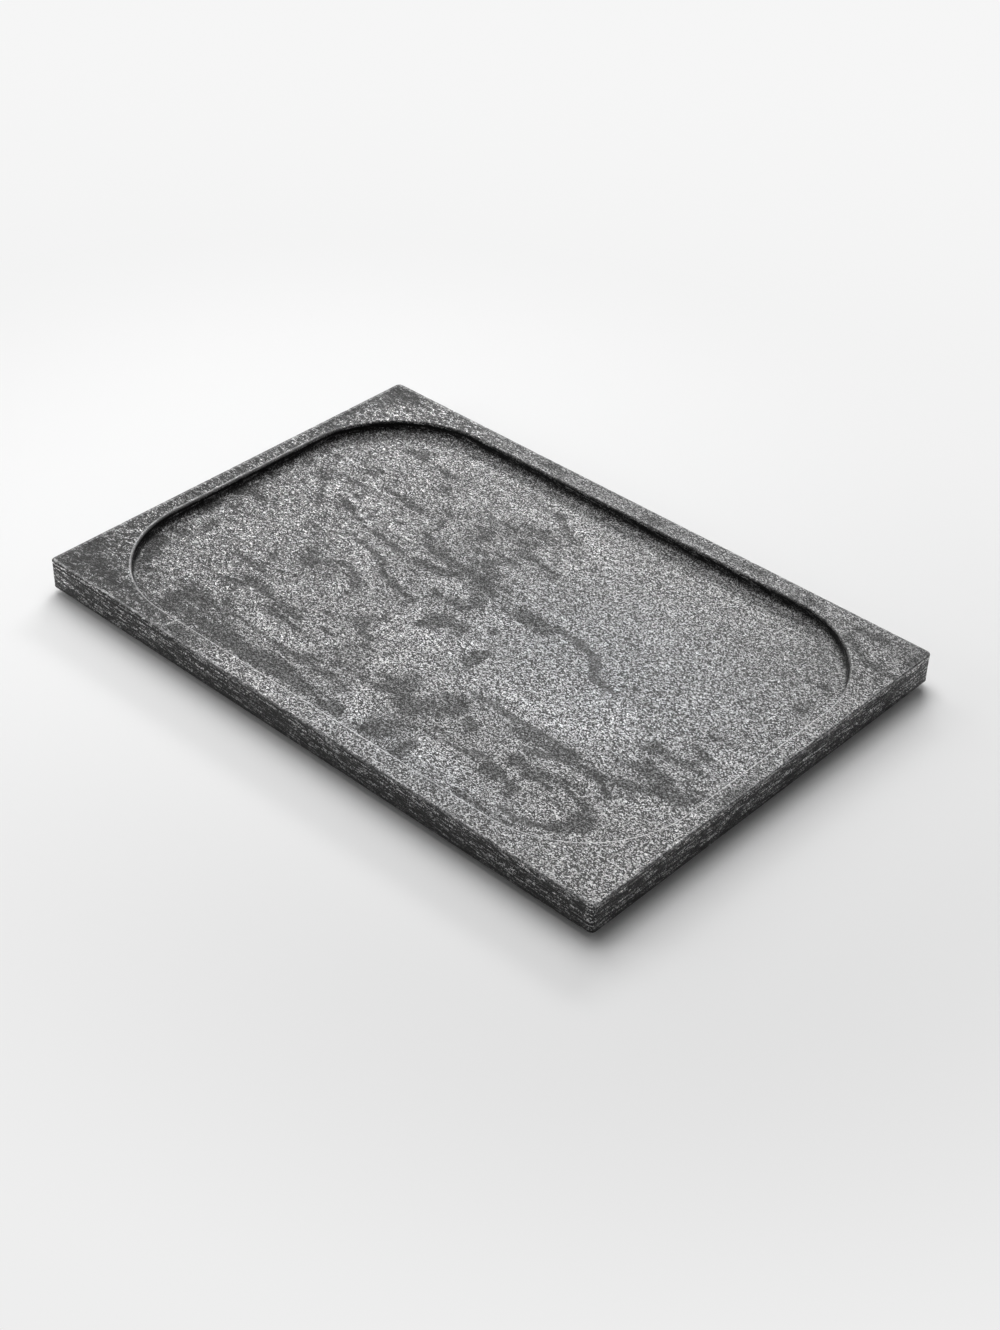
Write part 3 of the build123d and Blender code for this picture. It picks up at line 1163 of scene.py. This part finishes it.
# Softboxes: azimuth and elevation in degrees, distance, size, and share of full light on the table
softboxes = (
    ("large_softbox", (137, 60, 2.4), (1.9, 1.9), 0.52),
    ("back_softbox", (122, 28, 2.5), (1.2, 0.35), 0.15),
    ("left_softbox", (166, 28, 2.5), (1.5, 1.0), 0.07),
    ("front_softbox", (225, 29, 0.73), (0.35, 0.3), 0.06),
    ("right_softbox", (28, 45, 1.2), (0.6, 0.5), 0.03),
    ("overhead_softbox", (180, 82, 1.2), (0.6, 0.7), 0.19),
)
camera_lens = 61.354
camera_place = (0.64308, -0.69784, 0.70098)
camera_aim = (0.02344, -0.01072, 0)
camera_roll = 1.574


def pale_table():
    """A pale table. Far from the tray the camera sees it glow like a lit backdrop, with painted light a
    little brighter further from the camera.
    """
    bpy.ops.object.select_all(action="DESELECT")
    bpy.ops.mesh.primitive_plane_add(size=table_size, location=(0, 0, 0))
    table = bpy.context.object
    table.name = "table"
    coat = Finish("pale_table", roughness=0.9)
    coat.shader.inputs["Base Color"].default_value = table_colour
    coat.shader.inputs["Specular IOR Level"].default_value = 0
    from_tray = coat.vector("LENGTH", coat.vector("MULTIPLY", coat.place, (0.8, 1.0, 0)))
    far = coat.spread(from_tray, near_tray, far_from_tray)
    path = coat.nodes.new("ShaderNodeLightPath").outputs
    seen = coat.maths("MAXIMUM", path["Is Camera Ray"], path["Is Glossy Ray"])
    seen = coat.maths("MAXIMUM", seen, path["Is Transmission Ray"])
    backwards = coat.vector("DOT_PRODUCT", coat.place, away_from_camera)
    glow = coat.nodes.new("ShaderNodeEmission")
    coat.wire(coat.spread(backwards, -0.3, 0.8, *far_tones), glow.inputs["Strength"])
    even_out = coat.nodes.new("ShaderNodeMixShader")
    coat.wire(coat.maths("MULTIPLY", far, seen), even_out.inputs[0])
    coat.wire(coat.shader.outputs[0], even_out.inputs[1])
    coat.wire(glow.outputs[0], even_out.inputs[2])
    coat.wire(even_out.outputs[0], coat.nodes["Material Output"].inputs["Surface"])
    table.data.materials.append(coat.material)


def around(azimuth, elevation, distance):
    """A place at that distance from the middle of the tray. Azimuth 0 is +X and 90 is +Y."""
    level = math.cos(math.radians(elevation)) * distance
    turn = math.radians(azimuth)
    return level * math.cos(turn), level * math.sin(turn), math.sin(math.radians(elevation)) * distance


def softbox(name, place, size, share):
    """A softbox aimed at the tray, which gives the table there that share of full light."""
    data = bpy.data.lights.new(name, "AREA")
    data.shape = "RECTANGLE"
    data.size, data.size_y = size
    beam = -Vector(place)
    data.energy = share * math.pi**2 * beam.length_squared / (-beam.normalized().z)
    lamp = bpy.data.objects.new(name, data)
    bpy.context.scene.collection.objects.link(lamp)
    lamp.location = place
    lamp.rotation_euler = beam.to_track_quat("-Z", "Y").to_euler()
    lamp.visible_camera = False


def pale_world():
    """A weak even light from the room. The camera alone sees it pale past the edge of the table."""
    world = bpy.data.worlds.new("studio")
    bpy.context.scene.world = world
    world.use_nodes = True
    nodes = world.node_tree.nodes
    links = world.node_tree.links
    background = nodes["Background"]
    background.inputs["Color"].default_value = (1, 1, 1, 1)
    path = nodes.new("ShaderNodeLightPath").outputs
    strength = nodes.new("ShaderNodeMath")
    strength.operation = "MULTIPLY_ADD"
    links.new(path["Is Camera Ray"], strength.inputs[0])
    strength.inputs[1].default_value = pale_room
    strength.inputs[2].default_value = room_light
    links.new(strength.outputs[0], background.inputs["Strength"])


def photo_camera():
    """The camera of the photograph, found from the tray's own edges."""
    data = bpy.data.cameras.new("photo_camera")
    data.lens = camera_lens
    data.sensor_width = 36
    camera = bpy.data.objects.new("photo_camera", data)
    bpy.context.scene.collection.objects.link(camera)
    view = Vector(camera_aim) - Vector(camera_place)
    roll = Quaternion((0, 0, 1), math.radians(camera_roll))
    camera.location = camera_place
    camera.rotation_euler = (view.to_track_quat("-Z", "Y") @ roll).to_euler()
    bpy.context.scene.camera = camera


slab = stone_slab()
slab.data.materials.append(stone_finish())

first_foot = rubber_foot()
first_foot.data.materials.append(rubber_finish())
first_tape = foam_tape()
first_tape.data.materials.append(foam_finish())
supports = [(first_foot, first_tape)]
for corner in corners[1:]:
    foot = copied(first_foot, "rubber_foot_", "foot_", corner)
    tape = copied(first_tape, "foam_tape_", "foot_tape_", corner)
    supports.append((foot, tape))
for corner, (foot, tape) in zip(corners, supports):
    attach(foot, "root")
    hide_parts("foot_" + corner)
    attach(tape, "root")
    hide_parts("foot_tape_" + corner)

pale_table()
pale_world()
for name, direction, size, share in softboxes:
    softbox(name, around(*direction), size, share)
photo_camera()
bpy.context.scene.view_settings.view_transform = "Standard"
